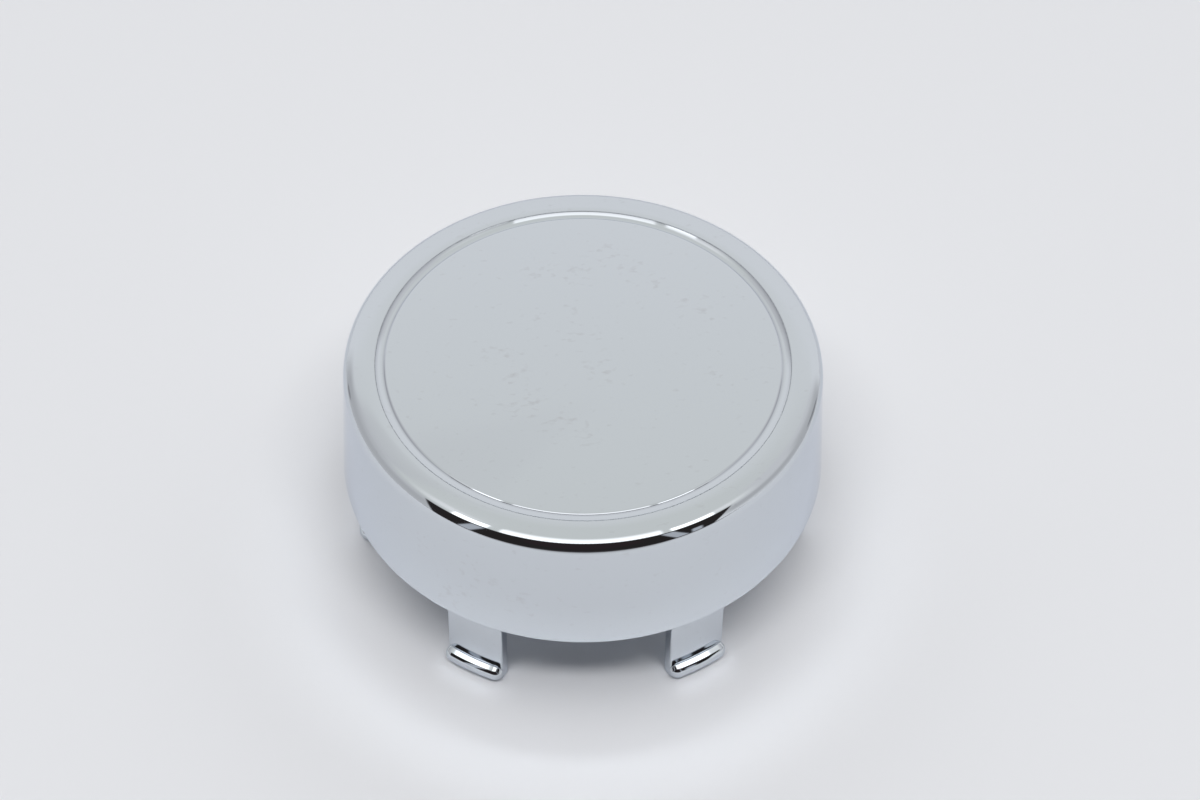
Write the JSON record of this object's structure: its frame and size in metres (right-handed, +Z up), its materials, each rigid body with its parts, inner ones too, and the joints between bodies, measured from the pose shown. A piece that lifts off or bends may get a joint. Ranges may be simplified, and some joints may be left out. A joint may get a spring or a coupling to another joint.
{
  "type": "wheel centre cap",
  "caption": "Round chrome-plated wheel centre cap: a shallow plain cup with a ring groove in its top and snap legs with rounded hooks under its skirt.",
  "frame": {"origin": "on the cap's axis, in the plane of the hooks' undersides that it stands on", "axes": "+Z up along the cap's axis, from the legs to the top face; -Y is the front, midway between two legs; +X to the right"},
  "size_m": [0.085, 0.085, 0.0433],
  "materials": {
    "chrome_plating": "bright chrome plating on moulded ABS"
  },
  "bodies": {
    "root": {"centre_cap": "chrome_plating"}
  },
  "joints": []
}
